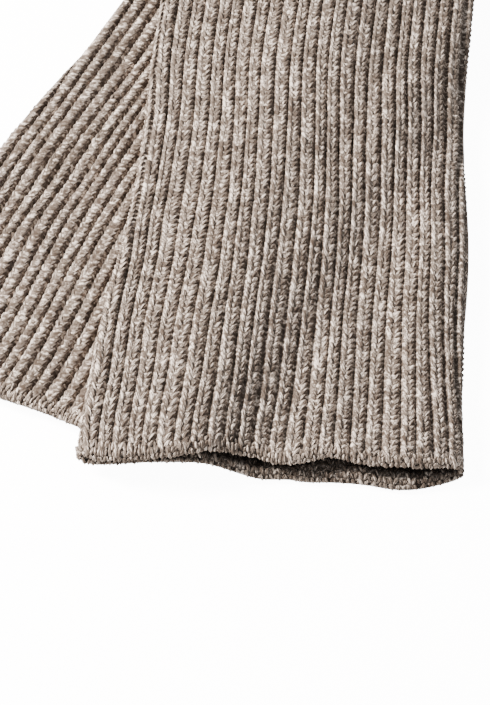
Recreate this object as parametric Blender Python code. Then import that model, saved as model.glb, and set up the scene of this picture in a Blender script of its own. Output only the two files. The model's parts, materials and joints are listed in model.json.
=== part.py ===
"""A pair of rib-knit arm warmers laid flat, one lying across the other.

Each warmer is one tube of one-by-one rib, knitted in a piece and open at both ends. It is modelled as a real wall:
a plain inside, raised ribs on the outside, two layers that lie on each other and a soft fold down each side. The
upper warmer drapes over the lower one and down to the surface beside it.

Run with: blender --background --python part.py
Metres, +Z up. +Y runs from the wide, visible hems towards the far ends. Origin: middle of the pair's footprint, on
the surface that it lies on.
"""

import math
from collections import namedtuple

import bmesh
import bpy
import numpy as np

MM = 0.001

# ---- driving sizes, in millimetres -------------------------------------------------------------------------------
LENGTH = 350.0  # hem to hem, along the tube
RIBS_ACROSS = 24.5  # raised ribs on the upper layer, from one side fold to the other
CROWDING = 0.13  # how far ribs bunch up and spread, as a share of their spacing
LOWER_WALL = 2.2  # the layer that lies underneath, pressed flat
UPPER_WALL = 1.5  # the upper layer, measured in the valley between two ribs
RIB_RELIEF = 1.1  # how far a rib stands above its valleys
LAYER_GAP = 1.0  # between the two layers, away from the open end
SIDE_WALL = 1.9  # the wall where it turns round at a side fold, in a valley
SEAT_GAP = 0.35  # between the two warmers where one lies on the other
HEM_BAND = 6.0  # length over which the ribs rise out of the plain knitted edge
HEM_ROUNDING = 1.2  # how far back the edge is rounded off
DRAPE_START = 2.0  # the upper warmer stays level this far past the lower one's edge ...
DRAPE_RUN = 21.0  # ... and comes down to the surface over this distance
MOUTH_DEPTH = 24.0  # the open end closes to LAYER_GAP over about this length

# ---- how finely the wall is divided --------------------------------------------------------------------------------
RIB_PROFILE = (0.0, 0.86, 1.0, 0.86)  # rib height at equal steps from one valley to the next
FOLD_STEPS = 4  # under each side fold
UNDERSIDE_STEPS = 18
INSIDE_STEPS = 14  # along each inner face
RING_SPACING = 16.0  # between cross-sections, away from the hems
HEM_RINGS = (0.0, 1.2, 3.2, 6.5, 14.0)  # cross-sections near a hem, by their distance from it

VALLEY_HEIGHT = LOWER_WALL + LAYER_GAP + UPPER_WALL
FOLD_RADIUS = VALLEY_HEIGHT / 2
CREST_HEIGHT = VALLEY_HEIGHT + RIB_RELIEF

# A row for each place along a tube: distance from the near hem, the way the tube heads in degrees to the right of +Y,
# half of its flat width, and how many rib spacings the ribs have slipped to the right at its left side, middle and
# right side, because the tube twists a little as it lies.
Place = namedtuple("Place", "along heading half_width slip_left slip_middle slip_right")
# A row for each place across an open end: distance from the tube's middle as a share of the half width, how far the
# upper layer lifts, and how far each layer's edge reaches out past the straight hem.
Mouth = namedtuple("Mouth", "across lift upper_reach lower_reach")
Warmer = namedtuple("Warmer", "name hem_middle places mouth colour")

OVER = Warmer(
    name="warmer_over",
    hem_middle=(-5.3, -178.4),
    places=(
        Place(0, 3.0, 50.6, 0.5, 0.05, -0.1),
        Place(10, 3.4, 50.2, 0.3, 0.15, 0.0),
        Place(25, 4.4, 49.5, 0.35, 0.35, -0.1),
        Place(42, 6.8, 49.2, 0.2, 0.25, -0.2),
        Place(60, 8.2, 48.2, -0.1, 0.05, -0.35),
        Place(80, 5.8, 47.2, -0.5, -0.15, -0.5),
        Place(100, 2.6, 46.3, -0.45, -0.18, -0.4),
        Place(125, 3.0, 45.7, -0.3, -0.3, -0.1),
        Place(150, 5.4, 45.8, -0.45, -0.5, -0.25),
        Place(180, 6.4, 46.2, -0.5, -0.5, -0.4),
        Place(250, 5.0, 46.0, -0.2, -0.2, -0.2),
        Place(320, 4.0, 46.2, 0.0, 0.0, 0.0),
        Place(350, 4.0, 47.4, 0.0, 0.0, 0.0),
    ),
    mouth=(
        Mouth(-1.00, 0.0, -0.6, -0.6),
        Mouth(-0.92, 0.0, 1.2, 0.9),
        Mouth(-0.68, 0.0, 2.0, 1.4),
        Mouth(-0.33, 0.3, 0.6, 1.6),
        Mouth(-0.15, 1.6, -0.7, 1.4),
        Mouth(0.10, 2.2, 0.1, 0.7),
        Mouth(0.30, 2.7, -2.4, 1.1),
        Mouth(0.48, 2.4, -0.8, 1.8),
        Mouth(0.66, 2.1, -0.6, 2.7),
        Mouth(0.86, 1.3, -1.6, 0.0),
        Mouth(1.00, 0.0, -2.6, -2.6),
    ),
    colour=(0.40, 0.34, 0.30),
)
UNDER = Warmer(
    name="warmer_under",
    hem_middle=(-70.8, -154.4),
    places=(
        Place(0, 23.0, 47.4, 0.5, 0.5, 0.5),
        Place(12, 21.0, 46.8, 0.7, 0.7, 0.7),
        Place(26, 19.0, 46.4, 0.8, 0.8, 0.8),
        Place(42, 19.5, 46.0, 0.75, 0.8, 0.8),
        Place(58, 22.5, 45.8, 0.55, 0.7, 0.7),
        Place(74, 26.0, 45.6, 0.3, 0.5, 0.5),
        Place(95, 29.7, 45.6, 0.15, -0.1, -0.1),
        Place(120, 29.0, 45.6, -0.5, -0.5, -0.5),
        Place(150, 25.5, 45.6, -0.9, -0.8, -0.7),
        Place(180, 24.0, 45.6, -0.9, -0.8, -0.7),
        Place(250, 23.0, 45.8, -0.4, -0.4, -0.4),
        Place(320, 22.0, 46.0, 0.0, 0.0, 0.0),
        Place(350, 22.0, 47.2, 0.0, 0.0, 0.0),
    ),
    mouth=(
        Mouth(-1.00, 0.0, -1.0, -1.0),
        Mouth(-0.60, 0.9, -0.4, 0.8),
        Mouth(-0.20, 0.3, 0.2, 0.2),
        Mouth(0.20, 0.0, 0.0, 0.0),
        Mouth(0.60, 0.0, 0.8, 0.8),
        Mouth(1.00, 0.0, -1.0, -1.0),
    ),
    colour=(0.38, 0.32, 0.28),
)


# ---- curves read from the tables ---------------------------------------------------------------------------------
def through(points_at, values, at):
    """A smooth curve through a table's values, read at any number of places."""
    points_at, values, at = (np.asarray(a, float) for a in (points_at, values, at))
    slopes = np.gradient(values, points_at)
    at = np.clip(at, points_at[0], points_at[-1])
    left = np.clip(np.searchsorted(points_at, at, side="right") - 1, 0, len(values) - 2)
    span = points_at[left + 1] - points_at[left]
    t = (at - points_at[left]) / span
    return (
        values[left] * (1 + 2 * t) * (1 - t) ** 2
        + values[left + 1] * t**2 * (3 - 2 * t)
        + slopes[left] * span * t * (1 - t) ** 2
        - slopes[left + 1] * span * t**2 * (1 - t)
    )


def ease(share):
    """0 at 0, 1 at 1, level at both."""
    share = np.clip(share, 0.0, 1.0)
    return share * share * (3 - 2 * share)


def column(rows, name):
    return [getattr(row, name) for row in rows]


class Path:
    """The middle line of a tube on the surface, and the frame across it."""

    def __init__(self, warmer):
        self.places = warmer.places
        self.along = np.arange(0.0, LENGTH + 1.0)
        middle_of_step = self.along[:-1] + 0.5
        turn = np.radians(through(column(self.places, "along"), column(self.places, "heading"), middle_of_step))
        steps = np.stack([np.sin(turn), np.cos(turn)], axis=1)
        start = np.array([warmer.hem_middle])
        self.points = np.concatenate([start, start + np.cumsum(steps, axis=0)])

    def heading(self, along):
        return np.radians(through(column(self.places, "along"), column(self.places, "heading"), along))

    def half_width(self, along):
        return through(column(self.places, "along"), column(self.places, "half_width"), along)

    def slip(self, along, share):
        """How far the ribs have slipped to the right, in rib spacings, at a share of the way over the top."""
        at = column(self.places, "along")
        left, middle, right = (
            float(through(at, column(self.places, name), along)) for name in ("slip_left", "slip_middle", "slip_right")
        )
        sloped = left + (right - left) * share + (middle - (left + right) / 2) * np.sin(math.pi * share)
        rib = RIBS_ACROSS * share
        bunched = CROWDING * (np.sin(0.95 * rib + along / 50) + 0.6 * np.sin(2.3 * rib - along / 35))
        return sloped + bunched

    def place(self, along, across):
        """Plan positions of points at these distances along the tube, which may lie just past a hem, and across it."""
        on_tube = np.clip(along, 0.0, LENGTH)
        x = np.interp(on_tube, self.along, self.points[:, 0])
        y = np.interp(on_tube, self.along, self.points[:, 1])
        turn = self.heading(on_tube)
        past = along - on_tube
        x = x + past * np.sin(turn) + across * np.cos(turn)
        y = y + past * np.cos(turn) - across * np.sin(turn)
        return x, y

    def distance_outside(self, x, y):
        """How far each plan position lies outside the laid tube. It is negative over the tube."""
        away = (x[..., None] - self.points[:, 0]) ** 2 + (y[..., None] - self.points[:, 1]) ** 2
        nearest = np.argmin(away, axis=-1)
        turn = self.heading(self.along[nearest])
        off_x, off_y = x - self.points[nearest, 0], y - self.points[nearest, 1]
        across = off_x * np.cos(turn) - off_y * np.sin(turn)
        along = self.along[nearest] + off_x * np.sin(turn) + off_y * np.cos(turn)
        past_side = np.abs(across) - self.half_width(along)
        past_hem = np.maximum(-along, along - LENGTH)
        outside = np.hypot(np.maximum(past_side, 0), np.maximum(past_hem, 0))
        return outside + np.minimum(np.maximum(past_side, past_hem), 0)


def surface_height(lower_path, x, y):
    """The height of what a tube lies on: the surface, or the other warmer and the slope down from it."""
    if lower_path is None:
        return np.zeros_like(x)
    past = lower_path.distance_outside(x, y) - DRAPE_START
    return (CREST_HEIGHT + SEAT_GAP) * (1 - ease(past / DRAPE_RUN))


# ---- one cross-section ---------------------------------------------------------------------------------------------
def from_hem(along):
    """Distance to the nearer hem."""
    return min(along, LENGTH - along)


def mouth_share(along):
    """How much of the near hem's open shape is left at this distance from it."""
    return math.exp(-((along / MOUTH_DEPTH) ** 2) * 2)


def rib_height(phase_height, along):
    """The height of the outside above the valleys: ribs, which sink into a plain band at each hem."""
    ribbed = float(ease((from_hem(along) - HEM_ROUNDING) / HEM_BAND))
    band = 0.7 - 0.9 * float(ease(1 - from_hem(along) / HEM_ROUNDING))
    return RIB_RELIEF * (ribbed * phase_height + (1 - ribbed) * band)


def outer_ring(path, along):
    """The outside of a section as across and height, from the left fold over the top and back underneath."""
    flat_half = float(path.half_width(along)) - RIB_RELIEF - FOLD_RADIUS
    quarter = math.pi / 2 * FOLD_RADIUS
    steps = round(RIBS_ACROSS * len(RIB_PROFILE))
    share = np.arange(steps + 1) / steps
    spacing = (2 * flat_half + 2 * quarter) / RIBS_ACROSS
    run = (RIBS_ACROSS * share + path.slip(along, share)) * spacing - quarter - flat_half
    run = np.clip(run, -flat_half - 1.9 * quarter, flat_half + 1.9 * quarter)
    middle = np.clip(run, -flat_half, flat_half)
    angle = math.pi / 2 - (run - middle) / FOLD_RADIUS
    raised = rib_height(np.array([RIB_PROFILE[step % len(RIB_PROFILE)] for step in range(steps + 1)]), along)

    fold = np.arange(1, FOLD_STEPS + 1) / FOLD_STEPS
    under_right = angle[-1] + (-math.pi / 2 - angle[-1]) * fold
    under_left = angle[0] + (3 * math.pi / 2 - angle[0]) * fold[::-1]
    under = flat_half * (1 - 2 * np.arange(1, UNDERSIDE_STEPS) / UNDERSIDE_STEPS)
    fade = rib_height(np.sin(math.pi * fold), along) * (1 - fold)

    middle = np.concatenate([middle, np.full(FOLD_STEPS, flat_half), under, np.full(FOLD_STEPS, -flat_half)])
    angle = np.concatenate([angle, under_right, np.full(len(under), -math.pi / 2), under_left])
    raised = np.concatenate([raised, fade, np.zeros(len(under)), fade[::-1]])
    room_below = FOLD_RADIUS * (1 / np.maximum(-np.sin(angle), 0.01) - 1)
    reach = FOLD_RADIUS + np.minimum(raised, room_below)
    return middle + reach * np.cos(angle), FOLD_RADIUS + reach * np.sin(angle)


def inner_ring(half_width):
    """The plain inside of a section, in the same order as the outside."""
    inside_half = half_width - RIB_RELIEF - SIDE_WALL
    flat_half = inside_half - LAYER_GAP / 2
    level = LOWER_WALL + LAYER_GAP / 2
    run = np.linspace(-flat_half, flat_half, INSIDE_STEPS)
    across = np.concatenate([[-inside_half], run, [inside_half], run[::-1]])
    up = np.full(INSIDE_STEPS, level + LAYER_GAP / 2)
    down = np.full(INSIDE_STEPS, level - LAYER_GAP / 2)
    return across, np.concatenate([[level], up, [level], down])


def lay(warmer, path, lower_path, along, across, height):
    """Puts a section's points in the model: opens the near hem, turns them along the path and drapes them."""
    share = across / path.half_width(along)
    at = column(warmer.mouth, "across")
    lift, upper_reach, lower_reach = (
        through(at, column(warmer.mouth, name), share) for name in ("lift", "upper_reach", "lower_reach")
    )
    upper = ease((height - LOWER_WALL / 2) / (LOWER_WALL / 2 + LAYER_GAP))
    near = mouth_share(along)
    reach = (upper * upper_reach + (1 - upper) * lower_reach) * near
    x, y = path.place(along - reach, across)
    z = surface_height(lower_path, x, y) + height + upper * lift * near
    return np.stack([x, y, z], axis=1) * MM


# ---- the mesh ------------------------------------------------------------------------------------------------------
def ring_places():
    """Distances from the near hem at which sections are cut, close together near both hems."""
    last = HEM_RINGS[-1]
    count = round((LENGTH - 2 * last) / RING_SPACING)
    between = np.linspace(last, LENGTH - last, count + 1)[1:-1]
    far = [LENGTH - ring for ring in reversed(HEM_RINGS)]
    return [*HEM_RINGS, *between, *far]


def around(across):
    """0 to 1 from the left fold over the top to the right one, then 1 to 2 back underneath."""
    half = np.abs(across).max()
    right = int(np.argmax(across))
    share = (across + half) / (2 * half)
    return np.concatenate([share[: right + 1], 2 - share[right + 1 :]])


def zip_edge(mesh, outer, inner, outer_at, inner_at):
    """Closes the wall's edge at a hem with triangles between the outside's ring and the inside's."""
    i, j = 0, 0
    while i < len(outer) or j < len(inner):
        next_outer = outer_at[i + 1] if i + 1 < len(outer) else 2.0
        next_inner = inner_at[j + 1] if j + 1 < len(inner) else 2.0
        take_outer = j >= len(inner) or (i < len(outer) and next_outer <= next_inner)
        a, b = outer[i % len(outer)], inner[j % len(inner)]
        if take_outer:
            i += 1
            mesh.faces.new((a, outer[i % len(outer)], b))
        else:
            j += 1
            mesh.faces.new((a, inner[j % len(inner)], b))


def tube(warmer, lower_path):
    """One warmer as a single closed wall."""
    path = Path(warmer)
    mesh = bmesh.new()
    outside, inside = [], []
    for along in ring_places():
        outer, inner = outer_ring(path, along), inner_ring(float(path.half_width(along)))
        for rings, section in ((outside, outer), (inside, inner)):
            points = lay(warmer, path, lower_path, along, *section)
            rings.append([mesh.verts.new(point) for point in points])
    for rings in (outside, inside):
        for near, far in zip(rings, rings[1:]):
            for k, vertex in enumerate(near):
                after = (k + 1) % len(near)
                mesh.faces.new((vertex, near[after], far[after], far[k]))
    outer_at, inner_at = around(outer[0]), around(inner[0])
    for end in (0, -1):
        zip_edge(mesh, outside[end], inside[end], outer_at, inner_at)
    bmesh.ops.recalc_face_normals(mesh, faces=mesh.faces)
    return mesh


def wool(name, colour):
    material = bpy.data.materials.new(name)
    material.use_nodes = True
    surface = material.node_tree.nodes["Principled BSDF"]
    surface.inputs["Base Color"].default_value = (*colour, 1.0)
    surface.inputs["Roughness"].default_value = 0.95
    surface.inputs["Metallic"].default_value = 0.0
    return material


def add_warmer(warmer, lower_path=None):
    mesh = bpy.data.meshes.new(warmer.name)
    shape = tube(warmer, lower_path)
    shape.to_mesh(mesh)
    shape.free()
    mesh.shade_smooth()
    mesh.set_sharp_from_angle(angle=math.radians(60))
    mesh.materials.append(wool(warmer.name + "_wool", warmer.colour))
    placed = bpy.data.objects.new(warmer.name, mesh)
    bpy.context.scene.collection.objects.link(placed)


def main():
    for leftover in list(bpy.data.objects):
        bpy.data.objects.remove(leftover, do_unlink=True)
    add_warmer(UNDER)
    add_warmer(OVER, lower_path=Path(UNDER))


main()
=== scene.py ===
"""The looks of a pair of rib-knit arm warmers, laid flat, one lying across the other.

Laid out as a Blender add-on and run as a script. Sizes are in millimetres until a mesh is made, and then in
metres. Each warmer gets a knitted wall, the stitches along its ribs and the stitches round its two hems.
A place in the knitting is told by a rib count from the left fold, by how far it lies along the tube from the
near hem, and by its height.
"""

import json
import math
from collections import namedtuple

import bpy
import numpy as np
from bpy.props import FloatProperty, FloatVectorProperty, PointerProperty
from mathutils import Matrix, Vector

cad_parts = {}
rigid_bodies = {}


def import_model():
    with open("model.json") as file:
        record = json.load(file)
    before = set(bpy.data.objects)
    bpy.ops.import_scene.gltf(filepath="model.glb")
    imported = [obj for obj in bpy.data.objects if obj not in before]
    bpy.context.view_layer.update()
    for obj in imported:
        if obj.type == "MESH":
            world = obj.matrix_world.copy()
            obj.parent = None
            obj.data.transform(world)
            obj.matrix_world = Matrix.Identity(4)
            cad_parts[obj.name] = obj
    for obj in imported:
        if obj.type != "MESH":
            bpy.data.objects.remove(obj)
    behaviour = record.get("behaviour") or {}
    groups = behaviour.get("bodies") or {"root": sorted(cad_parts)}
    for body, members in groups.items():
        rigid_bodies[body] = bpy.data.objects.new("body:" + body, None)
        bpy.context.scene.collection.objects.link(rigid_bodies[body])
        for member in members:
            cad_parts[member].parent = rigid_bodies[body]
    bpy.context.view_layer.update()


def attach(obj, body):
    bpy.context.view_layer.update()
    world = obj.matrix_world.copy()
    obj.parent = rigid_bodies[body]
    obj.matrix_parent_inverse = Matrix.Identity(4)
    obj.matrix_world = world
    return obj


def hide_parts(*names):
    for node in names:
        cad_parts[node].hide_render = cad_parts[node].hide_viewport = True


bl_info = {
    "name": "Rib-knit arm warmers",
    "version": (1, 0, 0),
    "blender": (4, 5, 0),
    "location": "View3D > Sidebar > Warmers",
    "description": "Dresses a pair of rib-knit arm warmers with wool stitches, hems and a studio",
    "category": "Add Mesh",
}

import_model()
MM = 0.001
SEED = 11

# ---- sizes that the solids share -----------------------------------------------------------------
LENGTH = 350.0  # hem to hem
RIBS_ACROSS = 24.5  # ribs over the top, from one side fold to the other
CROWDING = 0.08  # how far ribs bunch up and spread, as a share of their spacing
CrowdingWave = namedtuple("CrowdingWave", "size turn_per_rib run")
CROWDING_WAVES = (CrowdingWave(1.0, 0.95, 50), CrowdingWave(0.6, 2.3, -35))
LOWER_WALL = 2.2
UPPER_WALL = 1.5
RIB_RELIEF = 1.1
LAYER_GAP = 1.0
SIDE_WALL = 1.9
SEAT_GAP = 0.35
DRAPE_START = 2.0
DRAPE_RUN = 21.0
MOUTH_DEPTH = 24.0
VALLEY_HEIGHT = LOWER_WALL + LAYER_GAP + UPPER_WALL
FOLD_RADIUS = VALLEY_HEIGHT / 2
CREST_HEIGHT = VALLEY_HEIGHT + RIB_RELIEF
QUARTER = math.pi / 2 * FOLD_RADIUS

Place = namedtuple("Place", "along heading half_width slip_left slip_middle slip_right")
# At a place along the tube: which way it heads, in degrees, half its width, and how many ribs the knitting
# has slipped to the right at the left fold, in the middle and at the right fold.
Mouth = namedtuple("Mouth", "across lift upper_reach lower_reach lit")
# At a share of the half width: how far the upper layer is lifted, how far each layer's hem reaches past its
# even line, and how far in from its edge the lower layer is clear of the painted shadow under the upper
# layer.
Crease = namedtuple("Crease", "start end width height")  # from one (along, across) to another
Stretch = namedtuple("Stretch", "start end width amount")  # ribs pulled apart, or less than 0, bunched
DarkBand = namedtuple("DarkBand", "start end width amount")  # where painted shade darkens the wool

OVER_PLACES = (
    Place(0, 3.6, 51.1, 0.55, 0.1, 0.3),
    Place(10, 4.0, 50.6, 0.4, 0.15, 0.3),
    Place(25, 4.65, 49.9, 0.4, 0.3, 0.15),
    Place(42, 7.2, 49.75, 0.25, 0.25, -0.2),
    Place(60, 8.6, 48.85, 0.05, 0.05, -0.5),
    Place(80, 5.8, 48.0, -0.35, -0.15, -0.65),
    Place(100, 1.8, 47.0, -0.35, -0.15, -0.6),
    Place(125, 2.7, 45.85, -0.15, -0.15, 0.0),
    Place(150, 5.7, 46.2, -0.35, -0.35, -0.3),
    Place(180, 6.4, 46.6, -0.4, -0.35, -0.5),
    Place(250, 5.0, 46.0, -0.2, -0.2, -0.2),
    Place(320, 4.0, 46.2, 0.0, 0.0, 0.0),
    Place(350, 4.0, 47.4, 0.0, 0.0, 0.0),
)
OVER_MOUTH = (
    Mouth(-1.00, 0.0, -0.4, 0.0, 1.0),
    Mouth(-0.92, -0.2, 2.6, 2.1, 0.6),
    Mouth(-0.80, -0.5, 3.8, 2.5, 0.6),
    Mouth(-0.62, -0.5, 3.9, 2.2, 0.5),
    Mouth(-0.45, -0.2, 2.9, 2.1, 0.8),
    Mouth(-0.33, 0.4, 0.6, 1.7, 1.3),
    Mouth(-0.15, 1.6, -1.2, 1.8, 1.9),
    Mouth(-0.06, 1.9, -1.2, 1.9, 2.4),
    Mouth(0.02, 2.1, -0.2, 1.5, 2.7),
    Mouth(0.10, 2.2, 0.7, 1.3, 3.0),
    Mouth(0.18, 2.4, -0.2, 1.9, 4.4),
    Mouth(0.30, 2.7, -2.1, 1.6, 6.0),
    Mouth(0.48, 2.4, -0.5, 1.8, 4.6),
    Mouth(0.66, 2.1, -0.2, 3.0, 4.2),
    Mouth(0.76, 1.8, -0.6, 2.4, 3.8),
    Mouth(0.86, 1.3, -1.4, 0.7, 3.0),
    Mouth(1.00, 0.0, -2.6, -2.6, 1.5),
)
OVER_CREASES = (
    Crease((4, -26), (60, -24), 12, 0.5),
    Crease((0, -6), (70, -3), 9, -0.45),
    Crease((70, -3), (115, 12), 8, -0.6),
    Crease((115, 12), (165, 25), 8, -0.8),
    Crease((75, -16), (170, -2), 11, 0.8),
    Crease((15, 14), (55, 16), 7, 0.5),
    Crease((55, 36), (110, 35), 8, 0.9),
    Crease((10, 36), (45, 36), 7, 0.5),
    Crease((150, 6), (190, 12), 9, 0.6),
    Crease((205, -20), (285, -12), 11, 0.8),
    Crease((210, 8), (270, 2), 9, -0.7),
    Crease((280, 24), (335, 20), 10, 0.7),
)
OVER_STRETCHES = (
    Stretch((112, 30), (178, 34), 15, 1.0),
    Stretch((15, 46), (60, 45), 4, 1.9),
    Stretch((25, -46), (185, -43), 4, 1.1),
    Stretch((60, 45), (130, 43.5), 4, 1.0),
    Stretch((138, 43.5), (178, 43.5), 4, 1.9),
    Stretch((4, -7), (44, 0), 10, 0.7),
    Stretch((12, -36), (96, -34), 13, -0.7),
    Stretch((42, 33), (84, 32), 8, -0.8),
    Stretch((130, -32), (172, -30), 12, -0.5),
    Stretch((215, 10), (270, -6), 12, 0.7),
    Stretch((290, -24), (330, -20), 10, -0.6),
)
# Painted shade in soft bands, standing in for shade on the cloth.
OVER_DARK_BANDS = (
    DarkBand((130, 38), (185, 34), 20, 0.16),
    DarkBand((0, 48), (185, 46), 4, 0.14),
    DarkBand((0, -46), (18, -30), 10, 0.08),
)
UNDER_DARK_BANDS = (
    DarkBand((60, -30), (150, -40), 18, 0.12),
    DarkBand((0, 0), (200, -10), 60, 0.18),
)
UNDER_PLACES = (
    Place(0, 23.0, 47.4, 0.5, 0.5, 0.5),
    Place(12, 21.0, 46.8, 0.7, 0.7, 0.7),
    Place(26, 19.0, 46.4, 0.8, 0.8, 0.8),
    Place(42, 19.5, 46.0, 0.75, 0.8, 0.8),
    Place(58, 22.5, 45.8, 0.55, 0.7, 0.7),
    Place(74, 26.0, 45.6, 0.3, 0.5, 0.5),
    Place(95, 29.7, 45.6, 0.15, -0.1, -0.1),
    Place(120, 29.0, 45.6, -0.5, -0.5, -0.5),
    Place(150, 25.5, 45.6, -0.9, -0.8, -0.7),
    Place(180, 24.0, 45.6, -0.9, -0.8, -0.7),
    Place(250, 23.0, 45.8, -0.4, -0.4, -0.4),
    Place(320, 22.0, 46.0, 0.0, 0.0, 0.0),
    Place(350, 22.0, 47.2, 0.0, 0.0, 0.0),
)
UNDER_MOUTH = (
    Mouth(-1.00, 0.0, -1.0, -1.0, 2.0),
    Mouth(-0.60, 0.3, 1.0, 0.4, 1.5),
    Mouth(-0.20, -0.3, 1.9, 0.2, 1.2),
    Mouth(0.20, -0.4, 2.3, 0.5, 1.2),
    Mouth(0.36, -0.4, 3.0, 1.2, 1.2),
    Mouth(0.60, -0.2, 3.2, 1.6, 1.2),
    Mouth(1.00, 0.0, -1.0, -1.0, 2.0),
)
UNDER_CREASES = (
    Crease((60, -34), (95, -8), 8, -0.7),
    Crease((120, -30), (165, -24), 9, -0.6),
    Crease((30, -30), (60, -20), 9, 0.5),
    Crease((230, -22), (300, -26), 10, 0.7),
    Crease((215, -4), (275, -8), 9, -0.6),
)
UNDER_STRETCHES = (
    Stretch((55, -30), (130, -12), 12, 0.7),
    Stretch((5, -34), (30, -20), 10, -0.5),
    Stretch((210, 20), (300, 10), 14, 0.6),
)

# ---- the knitting's finer form -------------------------------------------------------------------
COURSE = 1.98  # from one row of stitches to the next, along the tube
FIRST_COURSE = 3.2  # the middle of the V nearest a hem
CREASE_DEPTH = 1.7  # how much deeper the cloth's creases are than the solid's
CALM_FROM = 0.8  # share of the half width from which creases fade towards a side fold
CALM_RUN = 0.2
MOUTH_FADING = 2  # how fast the mouth's form fades up the tube
FOLD_REACH = 1.9  # how far round a side fold ribs go, in quarter turns
LEVEL_STEP = 2.0  # between the places where the height of what a tube lies on is worked out
LEVEL_MARGIN = 6.0
LEVEL_HALF_WIDTH = 56.0
HIDDEN_MARGIN = 7.0  # how far under the other warmer stitches still show

NAP_START = 40  # along the tube, where the nap starts to get fuller
NAP_RUN = 110
NAP_SOFTENING = 0.72  # how much of the yarn's crispness the full nap takes away
Nap = namedtuple("Nap", "near_crisp valley_depth fullness furrow filling")
# How crisp the yarn is near the hem, how deep the wall's valleys are, how wide the stitches spread, how deep
# the furrow along a rib is, and how far a full nap fills the wall's ribs.
SINKING_NARROWS = 0.07  # how much narrower stitches are where the cloth sinks
SINKING_DEPTH = 1.4  # and how deep it has sunk by then
RISING_WIDENS = 0.5  # share of that which they gain at most where it rises
STRETCH_NARROWS = 0.16  # how much narrower they are where ribs are pulled apart

WallPoint = namedtuple("WallPoint", "share height filled")
# A rib under its stitches: share of the way across it, height above the solid's valleys, and how much of the
# nap's filling it gets where the nap is full. The first point's height is each tube's own.
WALL_PROFILE = (
    WallPoint(0.00, 0.00, 0.0),
    WallPoint(0.09, -0.08, 0.0),
    WallPoint(0.20, 0.34, 0.9),
    WallPoint(0.34, 0.56, 1.0),
    WallPoint(0.51, 0.62, 0.8),
    WallPoint(0.66, 0.42, 1.0),
    WallPoint(0.80, 0.14, 0.9),
    WallPoint(0.91, -0.12, 0.0),
)
RIBS_START = 1.2  # from a hem's edge, where the wall's ribs start to rise
RIBS_RISE = 3.4
HEM_FILL = -0.05  # height of the wall where its ribs end, along a hem
HEM_ROUNDING = 1.2  # along the tube, over which the wall's outside rounds off at a hem
HEM_DROP = 0.7
LIP_ROUNDING = 2.2  # along the tube, over which the inside rounds off at a hem
LIP_RISE = 0.3
LIP_DROP = 1.1
FOLD_STEPS = 6
UNDERSIDE_STEPS = 36
INSIDE_STEPS = 48
WALL_RINGS = (0.6, 1.4, 2.4, 3.6, 5.4, 8.0, 11.5)  # from a hem
WALL_RING_SPACING = 4.8

VALLEY_DARK = 0.18  # how much painted shade darkens the wall's valleys
DEEP_VALLEY_DARK = 0.20  # and how much more where they are deep
LEFT_VALLEY_DARK = 0.30  # and how much more in the leftmost ones
LEFT_VALLEYS = 3.2  # ribs from the left fold
LEFT_VALLEYS_RUN = 2.5
VALLEY_TOP = 0.2  # the height where a valley's painted shade starts
VALLEY_FALL = 0.7  # and how far below it the painted shade is whole
VALLEY_DARKEST = 1.4
MOUTH_DARK = 0.90  # how dark the painted shadow in the mouth is, further in than the light comes
MOUTH_DARK_START = 1.0  # before the lit strip's end
MOUTH_DARK_RUN = 1.8

Band = namedtuple("Band", "name start end sides rings")  # a stretch of stitches, and how fine its yarn is
BANDS = (
    Band("near", 0, 85, 4, 5),
    Band("middle", 85, 170, 4, 5),
    Band("upper", 170, 260, 4, 4),
    Band("far", 260, 350, 4, 4),
)
HEM_SIDES = 4
NEAR_HEM_RINGS = 5
FAR_HEM_RINGS = 4

# ---- the legs of the stitches --------------------------------------------------------------------
GRAIN_TIP = 0.99  # a grain of yarn has its tips past this, and they aren't lumpy
RIB_SHOULDER = 1.80  # from a rib's middle to where legs are down at the valleys
LEG_ARCH = 0.2  # how far a leg's middle stands above its ends
RIGHT_LEGS_SINK = 0.14  # how much deeper the legs on a rib's right lie
SOFT_RELIEF = 0.65  # how far soft plies stand out, as a share of crisp ones
CRISP_RELIEF = 0.35
PLIES_APART = 1.15  # how far plies lie from their leg's middle, as a share of what its width leaves
PLIES_LIFTED = 0.7  # and how far above and below it
PLY_HEIGHT = 0.9  # as a share of its width
PLY_TONE = 0.10  # how much plies differ
FOOT_DARK = 0.06  # how much painted shade a leg's foot gets
CRISP_FOOT_DARK = 0.15  # and how much more where it is crisp
FOOT_DARK_RUN = 0.35  # share of the leg
EDGE_DARK = 0.12  # how much painted shade a leg gets near a valley
EDGE_START = 1.2  # from the rib's middle
EDGE_RUN = 0.5
UNDERSIDE_DARK = 0.15  # how much painted shade a ply gets halfway up, more lower down and less higher up
UNDERSIDE_SLOPE = 0.5

Strand = namedtuple("Strand", "foot crisp_foot top crisp_top width shade")
# The legs on one side of a rib: how much further out their feet and tops lie, and how much more so where they
# are crisp, how wide they are, and how much painted shade they get.
LEFT_STRAND = Strand(foot=0.28, crisp_foot=-0.30, top=-0.26, crisp_top=0.0, width=1.12, shade=0.0)
# the right legs get painted shade, as they turn from the light
RIGHT_STRAND = Strand(foot=-0.04, crisp_foot=0.0, top=-0.08, crisp_top=0.18, width=1.0, shade=0.06)
STAGGER = 0.2  # how far up the tube a rib's right legs are moved, and its left ones down
RIB_WANDER = 0.015  # how far legs are out of place
COURSE_WANDER = 0.04
FOOT_WANDER = 0.05
SINK_WANDER = 0.08
TOP_UNEVENNESS = 0.6  # how much of the stitches' unevenness their tops have
WIDEST_SWING = 2.2  # of a leg's size, in spreads
LAST_WHOLE_RIB = RIBS_ACROSS - 0.7  # ribs past it turn under at the right fold
FOLD_LOOSENESS = 0.4  # share of the others' unevenness that stitches have there
FOLD_SINK = 0.5
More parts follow.
